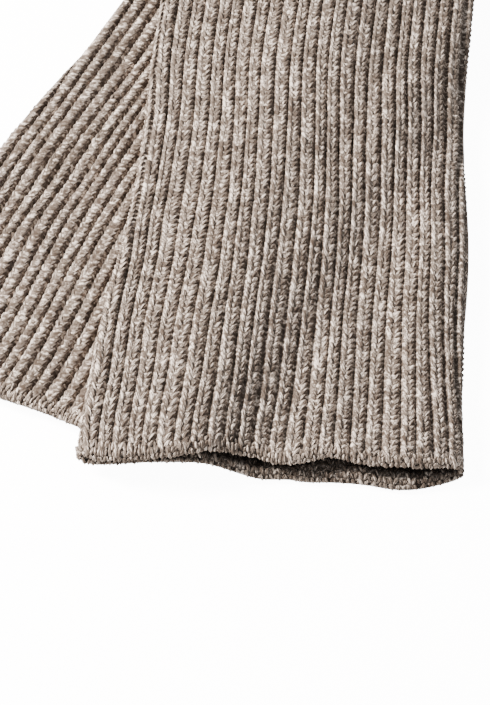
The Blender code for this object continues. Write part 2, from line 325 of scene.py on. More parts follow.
# painted shade on the rib that turns under at the right fold
FOLD_SHADE = 0.30
SOFT_UNDERSIDE = 0.3  # how much of its painted shade a leg's underside has where it is soft
CRISP_UNDERSIDE = 0.7  # and how much more where it is crisp

YARN_BLEND = (0.3, 0.7, 1.0, 0.7, 0.3)  # how far a tone carries on to its neighbours
MIDDLE_TONE = 0.5
TONE_ALONG_YARN = 0.05
TONE_ALONG_RIB = 0.07
TONE_OF_LEG = 0.10

# ---- the hems ------------------------------------------------------------------------------------
Rim = namedtuple("Rim", "round_edge from_hem height")
# The cloth's face round a hem: distance along it from the edge, inwards on top and less than 0 underneath.
UPPER_RIM = (  # heights above the upper layer's valleys
    Rim(-1.8, 1.05, -1.45),
    Rim(-0.9, 0.42, -1.00),
    Rim(0.0, 0.25, -0.20),
    Rim(0.8, 0.65, 0.35),
    Rim(1.8, 1.55, 0.55),
    Rim(3.0, 2.75, 0.50),
    Rim(6.0, 5.75, 0.40),
)
LOWER_RIM = (  # heights above the resting plane
    Rim(-1.8, 1.20, 0.35),
    Rim(-0.9, 0.50, 0.60),
    Rim(0.0, 0.25, 1.25),
    Rim(0.9, 0.80, 1.95),
    Rim(2.0, 1.85, 2.20),
    Rim(4.0, 3.85, 2.25),
    Rim(9.0, 8.85, 2.20),
)
RIM_STEP = 0.05  # either way round the edge, to tell which way the face is turned
RESTING_GAP = 0.05
HemCourse = namedtuple("HemCourse", "round_edge rib_sink between_sink")  # a row of Vs; None: left out
HemLayer = namedtuple(
    "HemLayer", "upper rim courses first last on_rib length width foot top loose shade underside"
)
# One layer of a hem: its first and last Vs, the part of a rib's count where its ribs lie, how long and wide
# its legs are, as a share of the others, where their feet and tops lie, how loose they are and how much
# painted shade they get.
UPPER_HEM = HemLayer(
    upper=True,
    rim=UPPER_RIM,
    courses=(
        HemCourse(3.3, None, 0.80),
        HemCourse(1.40, 0.34, 0.46),
        HemCourse(-0.45, 0.38, 0.42),
    ),
    first=-0.5,
    last=RIBS_ACROSS,
    on_rib=0.5,
    length=0.86,
    width=0.94,
    foot=0.22,
    top=0.80,
    loose=1.0,
    shade=0.02,
    underside=0.6,
)
LOWER_HEM = HemLayer(  # it shows its inside, whose ribs lie between those of the outside
    upper=False,
    rim=LOWER_RIM,
    courses=(
        HemCourse(5.6, 0.05, None),
        HemCourse(3.7, 0.05, 0.75),
        HemCourse(1.8, 0.15, 0.60),
        HemCourse(-0.1, 0.36, 0.46),
        HemCourse(-1.6, 0.50, 0.56),
    ),
    first=0.5,
    last=RIBS_ACROSS - 0.5,
    on_rib=0.0,
    length=0.74,
    width=0.84,
    foot=0.12,
    top=1.10,
    loose=0.35,
    # the lower layer's stitches get more painted shade, lying under the upper layer
    shade=0.28,
    underside=0.4,
)
HEM_CRISP = 0.65
HEM_FURROW = 0.45
HEM_TONE = 0.45
HemWander = namedtuple("HemWander", "v_along along v_rib rib v_sink length width foot top tone")
# How far the hem's Vs and their legs are out of place, and how much the legs differ.
HEM_WANDER = HemWander(
    v_along=0.14,
    along=0.12,
    v_rib=0.05,
    rib=0.02,
    v_sink=0.12,
    length=0.08,
    width=0.10,
    foot=0.08,
    top=0.12,
    tone=0.09,
)
HEM_CORNER = 0.9  # ribs from a side fold, where a hem turns under
CORNER_HOLD = 0.8  # how much of the looseness is lost there
CORNER_SINK = 0.55
# painted shade where a hem's stitches turn under at a side fold
CORNER_SHADE = 0.10

# ---- the studio, in metres -----------------------------------------------------------------------
TARGET = (-0.0118, -0.1348, 0.0)  # what the camera and the light are turned to
ELEVATION = math.radians(48)  # of the camera
KEY_FROM_TARGET = (-0.58, 0.10, 0.47)
KEY_SIZE = 0.25
KEY_COLOR = (1.0, 0.92, 0.845)
SENSOR = 36  # in millimetres
FLOOR_SIZE = 12
FLOOR_DROP = 0.0002  # below the resting plane
PAPER = (0.93, 0.93, 0.93, 1)
PAPER_GLOW = 12.0


def through(points_at, values, at):
    """A smooth curve through a table's values, read at any places."""
    points_at, values, at = (np.asarray(a, float) for a in (points_at, values, at))
    slopes = np.gradient(values, points_at)
    at = np.clip(at, points_at[0], points_at[-1])
    left = np.clip(np.searchsorted(points_at, at, side="right") - 1, 0, len(values) - 2)
    span = points_at[left + 1] - points_at[left]
    t = (at - points_at[left]) / span
    return (
        values[left] * (1 + 2 * t) * (1 - t) ** 2
        + values[left + 1] * t**2 * (3 - 2 * t)
        + slopes[left] * span * t * (1 - t) ** 2
        - slopes[left + 1] * span * t**2 * (1 - t)
    )


def ease(share):
    share = np.clip(share, 0.0, 1.0)
    return share * share * (3 - 2 * share)


def column(rows, name):
    return [getattr(row, name) for row in rows]


def from_hem(along):
    return np.minimum(along, LENGTH - along)


def nearness(band, along, across):
    """1 on a soft band's middle line, less to its sides and past its ends."""
    (start_along, start_across), (end_along, end_across) = band.start, band.end
    run_along, run_across = end_along - start_along, end_across - start_across
    t = (along - start_along) * run_along + (across - start_across) * run_across
    t = np.clip(t / (run_along**2 + run_across**2), 0, 1)
    away = np.hypot(along - start_along - t * run_along, across - start_across - t * run_across)
    return np.exp(-((away / band.width) ** 2))


class Tube:
    """One warmer as laid: reads its tables and turns places in the knitting into places in the model."""

    def __init__(self, name, hem_middle, places, mouth, creases, stretches, dark_bands, nap, lower=None):
        self.name, self.places, self.mouth, self.nap, self.lower = name, places, mouth, nap, lower
        self.creases, self.stretches, self.dark_bands = creases, stretches, dark_bands
        self.steps = np.arange(0.0, LENGTH + 1.0)
        turn = self.heading(self.steps[:-1] + 0.5)
        moves = np.cumsum(np.stack([np.sin(turn), np.cos(turn)], axis=1), axis=0)
        self.points = np.concatenate([[hem_middle], np.array(hem_middle) + moves])
        if lower:
            self.level_along = np.arange(-LEVEL_MARGIN, LENGTH + LEVEL_MARGIN + 1, LEVEL_STEP)
            self.level_across = np.arange(-LEVEL_HALF_WIDTH, LEVEL_HALF_WIDTH + 1, LEVEL_STEP)
            along, across = np.meshgrid(self.level_along, self.level_across, indexing="ij")
            past = lower.distance_outside(*self.place(along, across)) - DRAPE_START
            self.level_table = (CREST_HEIGHT + SEAT_GAP) * (1 - ease(past / DRAPE_RUN))

    def read(self, name, along):
        return through(column(self.places, "along"), column(self.places, name), along)

    def heading(self, along):
        return np.radians(self.read("heading", along))

    def half_width(self, along):
        return self.read("half_width", along)

    def flat_half(self, along):
        """From the middle to where a side fold starts to turn."""
        return self.half_width(along) - RIB_RELIEF - FOLD_RADIUS

    def rib_spacing(self, along):
        return (2 * self.flat_half(along) + 2 * QUARTER) / RIBS_ACROSS

    def slip(self, along, share):
        left, middle, right = (self.read(name, along) for name in ("slip_left", "slip_middle", "slip_right"))
        sloped = left + (right - left) * share + (middle - (left + right) / 2) * np.sin(math.pi * share)
        rib = RIBS_ACROSS * share
        waves = (wave.size * np.sin(wave.turn_per_rib * rib + along / wave.run) for wave in CROWDING_WAVES)
        return sloped + CROWDING * sum(waves)

    def place(self, along, across):
        on_tube = np.clip(along, 0.0, LENGTH)
        turn = self.heading(on_tube)
        past = along - on_tube
        x = np.interp(on_tube, self.steps, self.points[:, 0]) + past * np.sin(turn) + across * np.cos(turn)
        y = np.interp(on_tube, self.steps, self.points[:, 1]) + past * np.cos(turn) - across * np.sin(turn)
        return x, y

    def distance_outside(self, x, y):
        """How far a place is outside the tube's outline, or less than 0 inside it."""
        away = (x[..., None] - self.points[:, 0]) ** 2 + (y[..., None] - self.points[:, 1]) ** 2
        nearest = np.argmin(away, axis=-1)
        turn = self.heading(self.steps[nearest])
        off_x, off_y = x - self.points[nearest, 0], y - self.points[nearest, 1]
        across = off_x * np.cos(turn) - off_y * np.sin(turn)
        along = self.steps[nearest] + off_x * np.sin(turn) + off_y * np.cos(turn)
        past_side = np.abs(across) - self.half_width(along)
        past_hem = np.maximum(-along, along - LENGTH)
        outside = np.hypot(np.maximum(past_side, 0), np.maximum(past_hem, 0))
        return outside + np.minimum(np.maximum(past_side, past_hem), 0)

    def level(self, along, across):
        """The height of what the tube lies on, read between the table's places."""
        if not self.lower:
            return np.zeros_like(along)
        i = np.clip((along - self.level_along[0]) / LEVEL_STEP, 0, len(self.level_along) - 1.001)
        j = np.clip((across - self.level_across[0]) / LEVEL_STEP, 0, len(self.level_across) - 1.001)
        row, col = i.astype(int), j.astype(int)
        i, j = i - row, j - col
        table = self.level_table
        near = table[row, col] * (1 - j) + table[row, col + 1] * j
        far = table[row + 1, col] * (1 - j) + table[row + 1, col + 1] * j
        return near * (1 - i) + far * i

    def swell(self, along, across, share):
        """How far the upper layer stands above its even height, or below it, in soft ridges and troughs."""
        heights = (crease.height * nearness(crease, along, across) for crease in self.creases)
        return CREASE_DEPTH * sum(heights) * (1 - ease((np.abs(share) - CALM_FROM) / CALM_RUN))

    def crisp(self, along):
        """How clearly the yarn's plies stand out: less far from the near hem, where the nap is fuller."""
        return self.nap.near_crisp * (1 - NAP_SOFTENING * ease((along - NAP_START) / NAP_RUN))

    def painted_band_shade(self, along, rib):
        """How much painted shade darkens the wool, in soft bands."""
        across, _ = self.over_top(along, rib, 0.0)
        return sum(band.amount * nearness(band, along, across) for band in self.dark_bands)

    def stretch(self, along, across):
        """How far the ribs are pulled apart, or less than 0 where they are bunched."""
        return sum(stretch.amount * nearness(stretch, along, across) for stretch in self.stretches)

    def lay(self, along, across, height, upper=None):
        """Puts points of the straight, level tube in the model, in metres. upper is 1 on the upper layer."""
        along, across, height = np.broadcast_arrays(*(np.asarray(a, float) for a in (along, across, height)))
        share = across / self.half_width(along)
        at = column(self.mouth, "across")
        lift, upper_reach, lower_reach = (
            through(at, column(self.mouth, name), share) for name in ("lift", "upper_reach", "lower_reach")
        )
        if upper is None:
            upper = ease((height - LOWER_WALL) / LAYER_GAP)
        near = np.exp(-((np.maximum(along, 0) / MOUTH_DEPTH) ** 2) * MOUTH_FADING)
        reach = (upper * upper_reach + (1 - upper) * lower_reach) * near
        x, y = self.place(along - reach, across)
        raised = upper * (lift * near + self.swell(along, across, share))
        z = np.maximum(self.level(along, across) + height + raised, 0)
        return np.stack([x, y, z], axis=-1) * MM

    def over_top(self, along, rib, raised):
        """Across and height of points on the outside, raised above the valleys between the ribs."""
        flat_half = self.flat_half(along)
        unit = rib + self.slip(along, rib / RIBS_ACROSS)
        run = unit * self.rib_spacing(along) - QUARTER - flat_half
        run = np.clip(run, -flat_half - FOLD_REACH * QUARTER, flat_half + FOLD_REACH * QUARTER)
        middle = np.clip(run, -flat_half, flat_half)
        angle = math.pi / 2 - (run - middle) / FOLD_RADIUS
        room_below = FOLD_RADIUS * (1 / np.maximum(-np.sin(angle), 0.01) - 1)
        reach = FOLD_RADIUS + np.minimum(raised, room_below)
        return middle + reach * np.cos(angle), FOLD_RADIUS + reach * np.sin(angle)

    def outside(self, along, rib, raised):
        return self.lay(along, *self.over_top(along, rib, raised))


UNDER = Tube(
    "warmer_under",
    (-70.8, -154.4),
    UNDER_PLACES,
    UNDER_MOUTH,
    UNDER_CREASES,
    UNDER_STRETCHES,
    UNDER_DARK_BANDS,
    Nap(near_crisp=0.28, valley_depth=1.0, fullness=0.94, furrow=0.10, filling=0.66),
)
OVER = Tube(
    "warmer_over",
    (-5.4, -178.4),
    OVER_PLACES,
    OVER_MOUTH,
    OVER_CREASES,
    OVER_STRETCHES,
    OVER_DARK_BANDS,
    Nap(near_crisp=0.85, valley_depth=0.6, fullness=1.03, furrow=0.22, filling=0.14),
    lower=UNDER,
)
TUBES = (UNDER, OVER)


# ---- properties ----------------------------------------------------------------------------------
def length_mm(name, description, default, least=0.0):
    return FloatProperty(name=name, description=description + ", in mm", default=default, min=least)


def share_of(name, description, default):
    return FloatProperty(name=name, description=description, default=default, subtype="FACTOR")


class StitchSettings(bpy.types.PropertyGroup):
    """Sizes of the stitches on the garment. A stitch is a V of two legs, each of two twisted plies."""

    length: length_mm("Leg length", "Along the rib", 2.8, 1)
    width: length_mm("Leg width", "Width of both plies", 1.2, 0.3)
    ply: share_of("Ply", "A ply's share of its leg's width", 0.72)
    foot: length_mm("Foot", "From the middle of a rib to a leg's foot", 0.18)
    top: length_mm("Top", "From the middle of a rib to a leg's top", 1.47)
    crown: length_mm("Crown", "Height of a leg's middle over the valleys", 0.60)
    twist: FloatProperty(name="Twist", description="Of the plies along a leg", subtype="ANGLE", default=0.9)
    unevenness: share_of("Unevenness", "How much legs differ", 0.055)
    lumps: share_of("Lumps", "How lumpy the yarn is", 0.08)


def wool_color(name, description, default):
    return FloatVectorProperty(name=name, description=description, subtype="COLOR", default=default)


class WoolSettings(bpy.types.PropertyGroup):
    """Colours of the marl wool, from its darkest fibres to its palest."""

    darkest: wool_color("Darkest", "Brown fibres", (0.075, 0.055, 0.043))
    dark: wool_color("Dark", "Taupe fibres", (0.130, 0.103, 0.085))
    light: wool_color("Light", "Stone fibres", (0.240, 0.197, 0.167))
    lightest: wool_color("Lightest", "Cream fibres", (0.900, 0.795, 0.710))


class StudioSettings(bpy.types.PropertyGroup):
    """Camera and light."""

    elevation: FloatProperty(name="Elevation", description="Camera's", subtype="ANGLE", default=ELEVATION)
    distance: FloatProperty(name="Distance", description="Camera to target", unit="LENGTH", default=0.85)
    view_height: FloatProperty(name="View height", description="At the target", unit="LENGTH", default=0.19)
    key_power: FloatProperty(name="Key light", description="Power in watts", default=26.3, min=0)
    sky: FloatProperty(name="Sky", description="Strength of the light from all round", default=0.53, min=0)


# ---- mesh helpers --------------------------------------------------------------------------------
def mesh_object(name, points, faces):
    """A mesh object from an array of points and arrays of faces with equal corner counts."""
    mesh = bpy.data.meshes.new(name)
    sizes = np.concatenate([np.full(len(group), group.shape[1]) for group in faces])
    corners = np.concatenate([group.ravel() for group in faces])
    mesh.vertices.add(len(points))
    mesh.vertices.foreach_set("co", np.ascontiguousarray(points, dtype=np.float32).ravel())
    mesh.loops.add(len(corners))
    mesh.loops.foreach_set("vertex_index", corners.astype(np.int32))
    mesh.polygons.add(len(sizes))
    mesh.polygons.foreach_set("loop_start", (np.cumsum(sizes) - sizes).astype(np.int32))
    mesh.polygons.foreach_set("use_smooth", np.ones(len(sizes), dtype=bool))
    mesh.update(calc_edges=True)
    piece = bpy.data.objects.new(name, mesh)
    bpy.context.scene.collection.objects.link(piece)
    return piece


def point_value(piece, name, values):
    """Stores a number for each point, for the materials to read."""
    layer = piece.data.attributes.new(name, "FLOAT", "POINT")
    layer.data.foreach_set("value", np.ascontiguousarray(values, dtype=np.float32).ravel())


def uv_map(piece, name, places):
    """Stores a pair of numbers for each corner of each face."""
    layer = piece.data.uv_layers.new(name=name)
    layer.data.foreach_set("uv", np.ascontiguousarray(places, dtype=np.float32).ravel())


def corner_points(piece):
    corners = np.empty(len(piece.data.loops), dtype=np.int32)
    piece.data.loops.foreach_get("vertex_index", corners)
    return corners


def around(across):
    """0 to 1 from the left fold over the top to the right one, then 1 to 2 back underneath."""
    half = np.abs(across).max()
    right = int(np.argmax(across))
    share = (across + half) / (2 * half)
    return np.concatenate([share[: right + 1], 2 - share[right + 1 :]])


def zip_rings(outer, inner, outer_at, inner_at):
    """Triangles that close the edge between two rings of points."""
    faces = []
    i, j = 0, 0
    while i < len(outer) or j < len(inner):
        next_outer = outer_at[i + 1] if i + 1 < len(outer) else 2.0
        next_inner = inner_at[j + 1] if j + 1 < len(inner) else 2.0
        take_outer = j >= len(inner) or (i < len(outer) and next_outer <= next_inner)
        a, b = outer[i % len(outer)], inner[j % len(inner)]
        if take_outer:
            i += 1
            faces.append((a, b, outer[i % len(outer)]))
        else:
            j += 1
            faces.append((a, b, inner[j % len(inner)]))
    return np.array(faces)


def ring_faces(first, rings, count, inwards=False):
    """Quads between successive closed rings of count points each."""
    ring, step = np.meshgrid(np.arange(rings - 1), np.arange(count), indexing="ij")
    a = first + ring * count + step
    b = first + ring * count + (step + 1) % count
    faces = np.stack([a, b, b + count, a + count], axis=-1).reshape(-1, 4)
    return faces if inwards else faces[:, ::-1]


# ---- the knitted wall ----------------------------------------------------------------------------
def wall_places():
    last = WALL_RINGS[-1]
    count = round((LENGTH - 2 * last) / WALL_RING_SPACING)
    between = np.linspace(last, LENGTH - last, count + 1)[1:-1]
    return np.concatenate([WALL_RINGS, between, LENGTH - np.array(WALL_RINGS[::-1])])


def rib_form(along):
    """How much of the ribs' form there is: none along a hem's edge, all of it a few millimetres up."""
    return ease((from_hem(along) - RIBS_START) / RIBS_RISE)


Ring = namedtuple("Ring", "along across height count shade bare")
# One section of the wall's outside or inside: its place, its points, their rib count, how much painted shade
# they get and whether they are bare of stitches.


def rib_sections(tube, along):
    """The ribs across one section: the rib count of each point and its height above the solid's valleys."""
    ribs = np.arange(int(RIBS_ACROSS) + 1)
    narrower = spread(tube, np.full(len(ribs), along), ribs + 0.5)[:, None]
    share, raised, filled = np.array(WALL_PROFILE).T
    raised = raised + tube.nap.filling * (1 - float(tube.crisp(along))) * filled
    raised = np.where(share == 0, -tube.nap.valley_depth, raised)
    rib = (ribs[:, None] + np.where(share > 0, 0.5 + (share - 0.5) * narrower, 0.0)).ravel()
    raised = (raised + np.where(share == 0, narrower - 1, 0.0)).ravel()
    kept = rib <= RIBS_ACROSS
    rib, raised = rib[kept], raised[kept]
    form = rib_form(along)
    rounded = HEM_FILL - HEM_DROP * ease(1 - from_hem(along) / HEM_ROUNDING)
    return rib, form * raised + (1 - form) * rounded


def valley_shade(tube, rib, raised):
    """How much painted shade points on the outside get, for how deep in a valley they lie."""
    left = LEFT_VALLEY_DARK * ease((LEFT_VALLEYS - rib) / LEFT_VALLEYS_RUN)
    dark = VALLEY_DARK + DEEP_VALLEY_DARK * tube.nap.valley_depth + left
    return dark * np.clip((VALLEY_TOP - raised) / VALLEY_FALL, 0, VALLEY_DARKEST)


def round_fold(middle, angle):
    return middle + FOLD_RADIUS * np.cos(angle), FOLD_RADIUS + FOLD_RADIUS * np.sin(angle)


def outer_ring(tube, along):
    """The outside of a section: over the ribs, round the right fold, back underneath, round the left fold."""
    rib, raised = rib_sections(tube, along)
    across, height = tube.over_top(along, rib, raised)
    flat_half = float(tube.flat_half(along))
    fold = np.arange(1, FOLD_STEPS + 1) / FOLD_STEPS
    last = math.atan2(height[-1] - FOLD_RADIUS, across[-1] - flat_half)
    first = math.atan2(height[0] - FOLD_RADIUS, across[0] + flat_half) % (2 * math.pi)
    right = last + (-math.pi / 2 - last) * fold
    left = first + (3 * math.pi / 2 - first) * fold[::-1]
    under = flat_half * (1 - 2 * np.arange(1, UNDERSIDE_STEPS) / UNDERSIDE_STEPS)
    right_across, right_height = round_fold(flat_half, right)
    left_across, left_height = round_fold(-flat_half, left)
    across = np.concatenate([across, right_across, under, left_across])
    height = np.concatenate([height, right_height, under * 0, left_height])
    past_top = (-right * FOLD_RADIUS, QUARTER + flat_half - under, QUARTER + 2 * flat_half + QUARTER * fold)
    count = np.concatenate([rib, RIBS_ACROSS + np.concatenate(past_top) / tube.rib_spacing(along)])
    shade = np.zeros(len(across))
    # painted shade in the valleys
    shade[: len(rib)] = valley_shade(tube, rib, raised)
    return Ring(along, across, height, count, shade, np.arange(len(across)) >= len(rib))


def inner_ring(tube, along):
    """The inside of a section: a flat slit."""
    inside_half = float(tube.half_width(along)) - RIB_RELIEF - SIDE_WALL
    flat_half = inside_half - LAYER_GAP / 2
    level = LOWER_WALL + LAYER_GAP / 2
    run = np.linspace(-flat_half, flat_half, INSIDE_STEPS)
    rounding = float(ease(1 - from_hem(along) / LIP_ROUNDING))
    up = np.full(INSIDE_STEPS, level + LAYER_GAP / 2 + LIP_RISE * rounding)
    down = np.full(INSIDE_STEPS, level - LAYER_GAP / 2 - LIP_DROP * rounding)
    across = np.concatenate([[-inside_half], run, [inside_half], run[::-1]])
    height = np.concatenate([[level], up, [level], down])
    count = (across + inside_half + QUARTER) / tube.rib_spacing(along)
    # painted shadow in the mouth
    shade = mouth_shadow(tube, count, from_hem(along))
    return Ring(along, across, height, count, shade, np.ones(len(across), dtype=bool))


def closing_corners(outside, ring_count):
    """Which corners of the outside's faces are a ring's first point, in the face that closes the ring."""
    first = outside % ring_count == 0
    closes = outside.max(axis=1, keepdims=True) % ring_count == ring_count - 1
    return (first & closes).ravel()


def knitted_wall(tube):
    """The whole wall of one warmer as a closed mesh, with the count of ribs and courses as its UV map."""
    places = wall_places()
    outer = [outer_ring(tube, along) for along in places]
    inner = [inner_ring(tube, along) for along in places]
    rings = outer + inner
    outer_count, inner_count = len(outer[0].across), len(inner[0].across)
    first_inner = len(places) * outer_count
    outside = ring_faces(0, len(places), outer_count)
    inside = ring_faces(first_inner, len(places), inner_count, inwards=True)
    hems = []
    for step in (0, len(places) - 1):
        outer_points = step * outer_count + np.arange(outer_count)
        inner_points = first_inner + step * inner_count + np.arange(inner_count)
        hems.append(zip_rings(outer_points, inner_points, around(outer[-1].across), around(inner[-1].across)))
    near, far = hems
    points = np.concatenate([tube.lay(ring.along, ring.across, ring.height) for ring in rings])
    wall = mesh_object(tube.name + "_wall", points, [outside, inside, near, far[:, ::-1]])
    point_value(wall, "shade", np.concatenate([ring.shade for ring in rings]))
    point_value(wall, "bare", np.concatenate([ring.bare for ring in rings]))
    counts = np.concatenate([ring.count for ring in rings])
    courses = np.concatenate([np.full(len(ring.count), ring.along / COURSE) for ring in rings])
    knit = np.stack([counts, courses], axis=1)[corner_points(wall)]
    knit[: outside.size][closing_corners(outside, outer_count), 0] = 2 * RIBS_ACROSS
    uv_map(wall, "knit", knit)
    return wall


# ---- yarn ----------------------------------------------------------------------------------------
def in_order(faces):
    """Faces sorted by their corners, because a sphere's come in another order each run."""
    return faces[np.lexsort(np.sort(faces, axis=1).T[::-1])]


def model_grain(sides, rings):
    """A short length of yarn, from -1 to 1 in z along it, x across it and y out of the cloth."""
    bpy.ops.object.select_all(action="DESELECT")
    bpy.ops.mesh.primitive_uv_sphere_add(segments=sides, ring_count=rings, radius=1)
    grain = bpy.context.object
    points = np.array([corner.co[:] for corner in grain.data.vertices])
    quads = np.array([face.vertices[:] for face in grain.data.polygons if len(face.vertices) == 4])
    tips = np.array([face.vertices[:] for face in grain.data.polygons if len(face.vertices) == 3])
    shape = grain.data
    bpy.data.objects.remove(grain, do_unlink=True)
    bpy.data.meshes.remove(shape)
    return points, in_order(quads), in_order(tips)


def yarn_object(name, grain, spots, tone, shade, crisp, chance):
    """One mesh of many copies of a grain, whose points have been laid."""
    points, quads, tips = grain
    count = len(spots) // len(points)
    offset = (np.arange(count) * len(points))[:, None, None]
    faces = [(quads[None] + offset).reshape(-1, 4), (tips[None] + offset).reshape(-1, 3)]
    piece = mesh_object(name, spots, faces)
    point_value(piece, "tone", tone)
    point_value(piece, "shade", shade)
    point_value(piece, "crisp", crisp)
    along = (points[:, 2] + 1) / 2
    round_it = np.arctan2(points[:, 1], points[:, 0]) / math.pi
    start = chance.random((count, 2)) * 40
    u = (start[:, :1] + along[None]).ravel()
    v = (start[:, 1:] + np.abs(round_it)[None]).ravel()
    uv_map(piece, "yarn", np.stack([u, v], axis=1)[corner_points(piece)])
    return piece


Legs = namedtuple("Legs", "rib along side length width foot top sink turn tone shade underside crisp furrow")
# A number for each leg: its rib's middle, its place along the tube, 1 or -1 for its side of the rib, its
# sizes, how far its foot and top lie from the rib's middle, how deep it sits, how its plies are turned, its
# tone, how much painted shade it gets, how much of the painted shade on its underside, foot and end it gets,
# how crisp its plies are and how deep its foot is.


def each(values):
    """A column, a row for each leg, to go with its points."""
    return np.asarray(values, float)[:, None]


def at_side(rib):
    """Whether a rib is one of the two that turn under at the side folds."""
    return (rib < 0) | (rib > LAST_WHOLE_RIB)


def spread(tube, along, rib):
    """How wide a rib's stitches are: less so where the cloth sinks or is pulled sideways."""
    across, _ = tube.over_top(along, rib, 0.0)
    sunk = -tube.swell(along, across, across / tube.half_width(along))
    sinking = SINKING_NARROWS * np.clip(sunk / SINKING_DEPTH, -RISING_WIDENS, 1.0)
    return tube.nap.fullness - sinking - STRETCH_NARROWS * tube.stretch(along, across)


def no_shadow(along, rib):
    return 0.0


def lay_legs(lay, legs, grain, settings, chance, shadow=no_shadow):
    """Bends copies of a grain into legs, two plies to each. Gives their points, tones, painted shades and
    crispness.

    lay puts points in the model, from how far along the tube they lie, a rib, how far off its middle and how
    high. shadow gives the painted shadow on the cloth at a place along the tube and a rib.
    """
    x, y, z = grain[0].T
    t = (z + 1) / 2
    crisp = each(legs.crisp)
    full = (1 - np.abs(z) ** 3) ** 0.5 / np.maximum((1 - z**2) ** 0.5, 0.01)
    out = each(legs.foot) + each(legs.top - legs.foot) * t
    lean = np.arctan2(each(legs.top - legs.foot), each(legs.length))
    ply_share = 1 - (1 - settings.ply) * crisp
    relief = SOFT_RELIEF + CRISP_RELIEF * crisp
    crown = settings.crown * (1 - (np.abs(out) / RIB_SHOULDER) ** 3)
    crown = crown - each(legs.furrow) * (1 - t) ** 2 + LEG_ARCH * (1 - z**2)
    crown = crown - RIGHT_LEGS_SINK * (each(legs.side) > 0)
    # painted shade at the leg's foot and near the valley
    cavity = (FOOT_DARK + CRISP_FOOT_DARK * crisp) * ease((FOOT_DARK_RUN - t) / FOOT_DARK_RUN)
    cavity = cavity + EDGE_DARK * ease((out - EDGE_START) / EDGE_RUN)
    spots, tones, shades, crisps = [], [], [], []
    for ply in (0, 1):
        lumps = chance.standard_normal((len(legs.rib), len(z))) * (np.abs(z) < GRAIN_TIP)
        lumps = 1 + settings.lumps * crisp * lumps
        angle = each(legs.turn) + math.pi * ply + each(legs.side) * settings.twist / 2 * z
        apart = each(legs.width) * (1 - ply_share) / 2 * (1 - z**4)
        half = each(legs.width) * ply_share / 2 * full * lumps
        width = apart * PLIES_APART * np.cos(angle) + half * x
        across = each(legs.side) * (out + width * np.cos(lean))
        along = each(legs.along) + each(legs.length) * (t - 0.5) - width * np.sin(lean)
        standing = relief * (apart * PLIES_LIFTED * np.sin(angle) + half * PLY_HEIGHT * y)
        spots.append(lay(along, each(legs.rib), across, crown - each(legs.sink) + standing).reshape(-1, 3))
        tone = each(legs.tone + PLY_TONE * legs.crisp * chance.standard_normal(len(legs.rib)))
        tones.append(np.broadcast_to(tone, along.shape).ravel())
        # painted shade on each ply's underside, foot and end, and the painted mouth shadow, whichever is
        # darker
        under = np.clip(UNDERSIDE_DARK - UNDERSIDE_SLOPE * y, 0, 1) + cavity
        deep = np.maximum(under * each(legs.underside) + each(legs.shade), shadow(along, each(legs.rib)))
        shades.append(np.clip(deep, 0, 1).ravel())
        crisps.append(np.broadcast_to(crisp, along.shape).ravel())
    return tuple(np.concatenate(parts) for parts in (spots, tones, shades, crisps))


def on_ribs(tube):
    """How to lay legs on the outside of a tube."""

    def lay(along, rib, across, raised):
        return tube.outside(along, rib + across / tube.rib_spacing(np.clip(along, 0, LENGTH)), raised)

    return lay


def round_hem(tube, layer, far):
    """How to lay legs round the edge of a layer of a hem, with along counted round the edge."""
    at = column(layer.rim, "round_edge")
    end = LENGTH if far else 0.0
    spacing = float(tube.rib_spacing(end))

    def on_rim(run):
        return np.stack([through(at, column(layer.rim, name), run) for name in ("from_hem", "height")])

    def lay(along, rib, across, raised):
        run = LENGTH - along if far else along
        inward, height = on_rim(run)
        ahead = on_rim(run + RIM_STEP) - on_rim(run - RIM_STEP)
        turn_inward, turn_height = ahead / np.maximum(np.hypot(*ahead), 1e-6)
        inward, height = inward - turn_height * raised, height + turn_inward * raised
        place = LENGTH - inward if far else inward
        rib = rib + across / spacing
        if layer.upper:
            return tube.outside(place, rib, height)
        flat = rib * spacing - QUARTER - tube.flat_half(end)
        return tube.lay(place, flat, np.maximum(height, RESTING_GAP), upper=0.0)

    return lay


def rib_legs(tube, settings, chance):
    """Both legs of every stitch on the ribs' outside."""
    ribs = np.arange(-1, int(RIBS_ACROSS) + 1) + 0.5
    courses = np.arange(FIRST_COURSE, LENGTH - FIRST_COURSE + 0.5, COURSE)
    rib, along, side = (a.ravel() for a in np.meshgrid(ribs, courses, (-1.0, 1.0), indexing="ij"))
    count = len(rib)
    strand = Strand(*(np.where(side < 0, left, right) for left, right in zip(LEFT_STRAND, RIGHT_STRAND)))
    steady = np.where(at_side(rib), FOLD_LOOSENESS, 1.0)
    narrower = spread(tube, along, rib)
    crisp = tube.crisp(along)

    def vary(size, amount=1.0):
        swing = chance.standard_normal(count).clip(-WIDEST_SWING, WIDEST_SWING)
        return size * (1 + settings.unevenness * amount * steady * swing)

    def wander(amount):
        return amount * chance.standard_normal(count)

    return Legs(
        rib=rib + wander(RIB_WANDER),
        along=along + wander(steady * COURSE_WANDER) + STAGGER * side,
        side=side,
        length=vary(settings.length),
        width=vary(settings.width) * strand.width,
        foot=narrower * (settings.foot + (strand.foot + strand.crisp_foot * crisp) + wander(FOOT_WANDER)),
        top=narrower * (vary(settings.top, TOP_UNEVENNESS) + (strand.top + strand.crisp_top * crisp)),
        sink=wander(SINK_WANDER * steady) + np.where(at_side(rib), FOLD_SINK, 0.0),
        turn=chance.random(count) * math.pi,
        tone=marl_along_yarn(rib, along, side, chance),
        # painted shade: on the rib turning under at the right fold, on the right legs, and in soft bands
        shade=np.where(rib > LAST_WHOLE_RIB, FOLD_SHADE, 0.0) + strand.shade + tube.painted_band_shade(along, rib),
        underside=steady * (SOFT_UNDERSIDE + CRISP_UNDERSIDE * crisp),
        crisp=crisp,
        furrow=np.full(count, tube.nap.furrow),
    )


